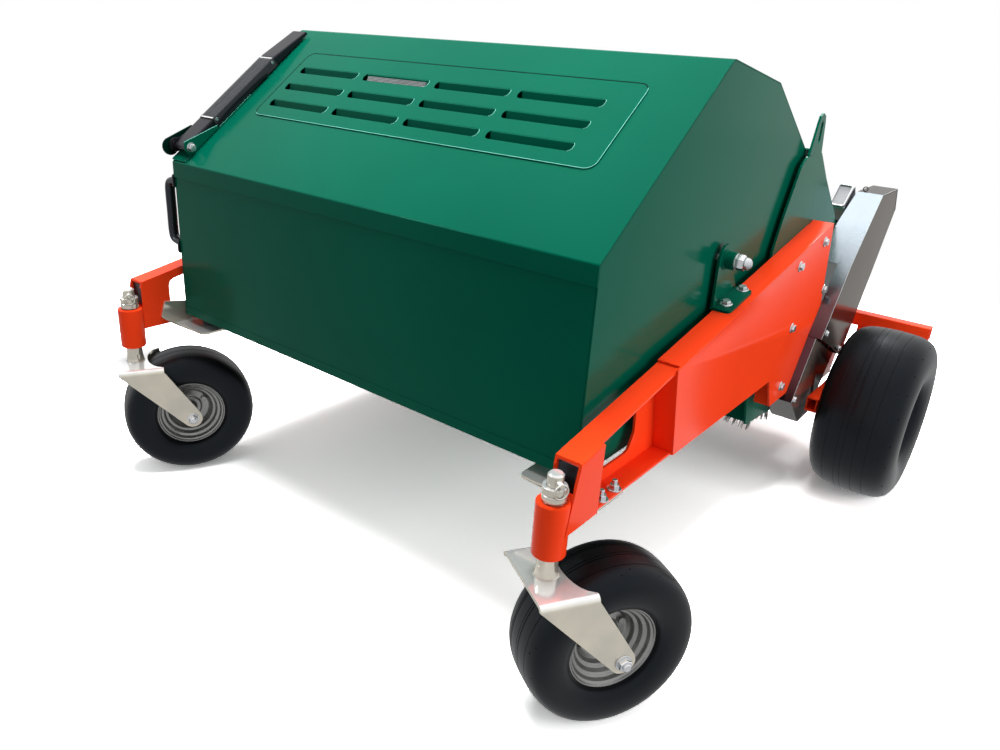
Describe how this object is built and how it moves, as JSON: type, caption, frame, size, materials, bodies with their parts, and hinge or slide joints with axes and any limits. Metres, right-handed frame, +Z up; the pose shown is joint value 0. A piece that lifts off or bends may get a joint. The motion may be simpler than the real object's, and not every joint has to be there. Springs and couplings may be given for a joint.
{
  "type": "lawn sweeper collector",
  "caption": "Tractor-mounted lawn sweeper: tipping hopper with louvred lid, brush rotor on a belt drive, two castors ahead and two wide wheels at a three-point headstock.",
  "frame": {"origin": "middle of the whole machine's footprint, on the ground", "axes": "+X to the machine's right when the tractor end is ahead, +Y to the tractor end, +Z up"},
  "size_m": [1.94, 1.8142, 1.1483],
  "materials": {
    "green_paint": "gloss powder coat",
    "orange_paint": "gloss powder coat",
    "black_paint": "satin powder coat",
    "rim_paint": "silver paint",
    "zinc_plate": "bright zinc plate",
    "stainless": "bright sheet",
    "bare_steel": "machined",
    "cast_metal": "silver-painted casting",
    "tyre": "near-black, fine circumferential grooves",
    "rubber": "matt",
    "bristle": "filament"
  },
  "bodies": {
    "chassis": {"arm_channel_right": "orange_paint", "arm_channel_left": "orange_paint", "arm_box_right": "orange_paint", "arm_box_left": "orange_paint", "pivot_bracket_right": "green_paint", "pivot_bracket_left": "green_paint", "pivot_pin_right": "zinc_plate", "pivot_pin_left": "zinc_plate", "buffer_bracket_right": "zinc_plate", "buffer_bracket_left": "zinc_plate", "rubber_buffer_right": "rubber", "rubber_buffer_left": "rubber", "rotor_hood": "green_paint", "scoop_plate": "green_paint", "housing_side_right": "green_paint", "housing_side_left": "green_paint", "rotor_bearing_right": "cast_metal", "rotor_bearing_left": "cast_metal", "gearbox_housing": "cast_metal", "bearing_block": "cast_metal", "drive_belt": "rubber", "upper_belt_guard": "stainless", "lower_belt_guard": "black_paint", "rear_beam": "orange_paint", "wheel_arm_right": "orange_paint", "wheel_arm_left": "orange_paint", "headstock": "orange_paint", "kingpin_tube_right": "orange_paint", "kingpin_tube_left": "orange_paint"},
    "hopper": {"hopper_side_right": "green_paint", "hopper_side_left": "green_paint", "hopper_tray": "green_paint", "lid": "green_paint", "vent_panel": "green_paint", "grab_handle": "black_paint", "lever_bracket": "green_paint"},
    "lever": {"tip_lever": "black_paint", "lever_grip": "rubber"},
    "castor_right": {"castor_fork_right": "zinc_plate", "castor_collar_right": "zinc_plate", "linch_pin_right": "zinc_plate", "castor_axle_right": "zinc_plate"},
    "castor_left": {"castor_fork_left": "zinc_plate", "castor_collar_left": "zinc_plate", "linch_pin_left": "zinc_plate", "castor_axle_left": "zinc_plate"},
    "castor_wheel_right": {"castor_tyre_right": "tyre", "castor_rim_right": "rim_paint"},
    "castor_wheel_left": {"castor_tyre_left": "tyre", "castor_rim_left": "rim_paint"},
    "rear_wheel_right": {"rear_tyre_right": "tyre", "rear_rim_right": "rim_paint"},
    "rear_wheel_left": {"rear_tyre_left": "tyre", "rear_rim_left": "rim_paint"},
    "rotor": {"rotor_shaft": "bare_steel", "rotor_brush": "bristle", "rotor_pulley": "bare_steel"},
    "cross_drive": {"cross_shaft": "bare_steel", "drive_pulley": "bare_steel"},
    "pto": {"pto_shaft": "bare_steel"}
  },
  "joints": [
    {"name": "hopper_tip", "type": "hinge", "parent": "chassis", "child": "hopper", "pos_m": [0, -0.19822, 0.7486], "axis": [-1, 0, 0], "range_deg": [0, 85]},
    {"name": "lever_swing", "type": "hinge", "parent": "hopper", "child": "lever", "pos_m": [-0.591, -0.67497, 0.85775], "axis": [1, 0, 0], "range_deg": [0, 100]},
    {"name": "castor_swivel_right", "type": "hinge", "parent": "chassis", "child": "castor_right", "pos_m": [0.6528, -0.82422, 0.405], "axis": [0, 0, 1], "continuous": true},
    {"name": "castor_swivel_left", "type": "hinge", "parent": "chassis", "child": "castor_left", "pos_m": [-0.6528, -0.82422, 0.405], "axis": [0, 0, 1], "continuous": true},
    {"name": "castor_wheel_right_spin", "type": "hinge", "parent": "castor_right", "child": "castor_wheel_right", "pos_m": [0.71673, -0.72031, 0.1645], "axis": [0.8517, -0.524, 0], "continuous": true},
    {"name": "castor_wheel_left_spin", "type": "hinge", "parent": "castor_left", "child": "castor_wheel_left", "pos_m": [-0.59817, -0.71513, 0.1645], "axis": [0.8942, -0.4478, 0], "continuous": true},
    {"name": "rear_wheel_right_spin", "type": "hinge", "parent": "chassis", "child": "rear_wheel_right", "pos_m": [0.86, 0.51678, 0.236], "axis": [1, 0, 0], "continuous": true},
    {"name": "rear_wheel_left_spin", "type": "hinge", "parent": "chassis", "child": "rear_wheel_left", "pos_m": [-0.86, 0.51678, 0.236], "axis": [1, 0, 0], "continuous": true},
    {"name": "rotor_spin", "type": "hinge", "parent": "chassis", "child": "rotor", "pos_m": [0, 0.39678, 0.308], "axis": [1, 0, 0], "continuous": true},
    {"name": "cross_shaft_spin", "type": "hinge", "parent": "chassis", "child": "cross_drive", "pos_m": [0, 0.73178, 0.755], "axis": [1, 0, 0], "continuous": true},
    {"name": "pto_spin", "type": "hinge", "parent": "chassis", "child": "pto", "pos_m": [0, 0.8, 0.755], "axis": [0, 1, 0], "continuous": true}
  ],
  "couplings": [
    {"joint": "cross_shaft_spin", "follows": "rotor_spin", "ratio": 1.9524},
    {"joint": "pto_spin", "follows": "rotor_spin", "ratio": 1.9524}
  ]
}
